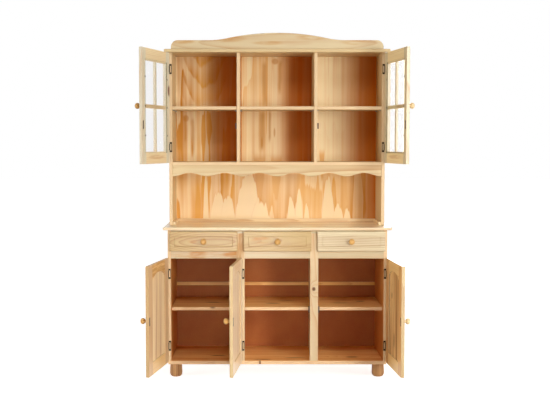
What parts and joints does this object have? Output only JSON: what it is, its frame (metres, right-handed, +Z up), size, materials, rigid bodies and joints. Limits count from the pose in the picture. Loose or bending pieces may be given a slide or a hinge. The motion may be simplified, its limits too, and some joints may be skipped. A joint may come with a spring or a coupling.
{
  "type": "kitchen dresser",
  "caption": "Pine kitchen dresser: base cupboard with drawers and panelled doors, worktop, and a hutch with shelves, glazed side doors, scalloped valance and arched crown.",
  "frame": {"origin": "on the floor under the middle of the base cupboard's footprint", "axes": "+X to the right as seen from the front, +Y to the back, +Z up"},
  "size_m": [1.4566, 0.7816, 1.896],
  "materials": {
    "pine": "clear lacquered knotty pine",
    "knob_pine": "clear lacquered turned pine",
    "plywood": "clear lacquered pine-faced plywood",
    "hardboard": "smooth brown hardboard",
    "window_glass": "clear float glass",
    "bronzed_metal": "dark bronzed",
    "catch_plastic": "dark brown moulded",
    "pin_steel": "zinc plated"
  },
  "bodies": {
    "carcass": {"base_back_batten": "pine", "base_back_lower": "hardboard", "base_back_upper": "hardboard", "base_bottom": "pine", "base_dividers": "pine", "base_shelves": "pine", "base_side_left": "pine", "base_side_right": "pine", "bun_feet": "pine", "countertop": "pine", "drawer_rails": "pine", "drawer_runners": "pine", "hinge_frame_leaves": "bronzed_metal", "hinge_pins": "bronzed_metal", "hutch_back": "plywood", "hutch_bottom_shelf": "pine", "hutch_cleats": "pine", "hutch_crown": "pine", "hutch_dividers": "pine", "hutch_shelves": "pine", "hutch_side_left": "pine", "hutch_side_right": "pine", "hutch_top": "pine", "hutch_valance": "pine", "magnetic_catches": "catch_plastic", "shelf_pins": "pin_steel"},
    "door_lower_left": {"door_lower_left_hardware": "bronzed_metal", "door_lower_left_knob": "knob_pine", "door_lower_left_panel": "pine", "door_lower_left_rails": "pine", "door_lower_left_stiles": "pine"},
    "door_lower_middle": {"door_lower_middle_hardware": "bronzed_metal", "door_lower_middle_knob": "knob_pine", "door_lower_middle_panel": "pine", "door_lower_middle_rails": "pine", "door_lower_middle_stiles": "pine"},
    "door_lower_right": {"door_lower_right_hardware": "bronzed_metal", "door_lower_right_knob": "knob_pine", "door_lower_right_panel": "pine", "door_lower_right_rails": "pine", "door_lower_right_stiles": "pine"},
    "door_upper_left": {"door_upper_left_glass": "window_glass", "door_upper_left_hardware": "bronzed_metal", "door_upper_left_knob": "knob_pine", "door_upper_left_rails": "pine", "door_upper_left_stiles": "pine"},
    "door_upper_right": {"door_upper_right_glass": "window_glass", "door_upper_right_hardware": "bronzed_metal", "door_upper_right_knob": "knob_pine", "door_upper_right_rails": "pine", "door_upper_right_stiles": "pine"},
    "drawer_left": {"drawer_left_box": "pine", "drawer_left_front": "pine", "drawer_left_knob": "knob_pine"},
    "drawer_middle": {"drawer_middle_box": "pine", "drawer_middle_front": "pine", "drawer_middle_knob": "knob_pine"},
    "drawer_right": {"drawer_right_box": "pine", "drawer_right_front": "pine", "drawer_right_knob": "knob_pine"}
  },
  "joints": [
    {"name": "lower_left_hinge", "type": "hinge", "parent": "carcass", "child": "door_lower_left", "pos_m": [-0.5969, -0.2037, 0.377], "axis": [0, 0, -1], "range_deg": [-100.5, 49.5]},
    {"name": "lower_middle_hinge", "type": "hinge", "parent": "carcass", "child": "door_lower_middle", "pos_m": [-0.1939, -0.2037, 0.377], "axis": [0, 0, -1], "range_deg": [-96.5, 3.5]},
    {"name": "lower_right_hinge", "type": "hinge", "parent": "carcass", "child": "door_lower_right", "pos_m": [0.5969, -0.2037, 0.377], "axis": [0, 0, 1], "range_deg": [-94.5, 55.5]},
    {"name": "upper_left_hinge", "type": "hinge", "parent": "carcass", "child": "door_upper_left", "pos_m": [-0.5969, -0.0737, 1.4835], "axis": [0, 0, -1], "range_deg": [-107, 43]},
    {"name": "upper_right_hinge", "type": "hinge", "parent": "carcass", "child": "door_upper_right", "pos_m": [0.5969, -0.0737, 1.4835], "axis": [0, 0, 1], "range_deg": [-100, 50]},
    {"name": "drawer_left_slide", "type": "slide", "parent": "carcass", "child": "drawer_left", "axis": [0, -1, 0], "range_m": [0, 0.26]},
    {"name": "drawer_middle_slide", "type": "slide", "parent": "carcass", "child": "drawer_middle", "axis": [0, -1, 0], "range_m": [0, 0.26]},
    {"name": "drawer_right_slide", "type": "slide", "parent": "carcass", "child": "drawer_right", "axis": [0, -1, 0], "range_m": [0, 0.26]}
  ]
}
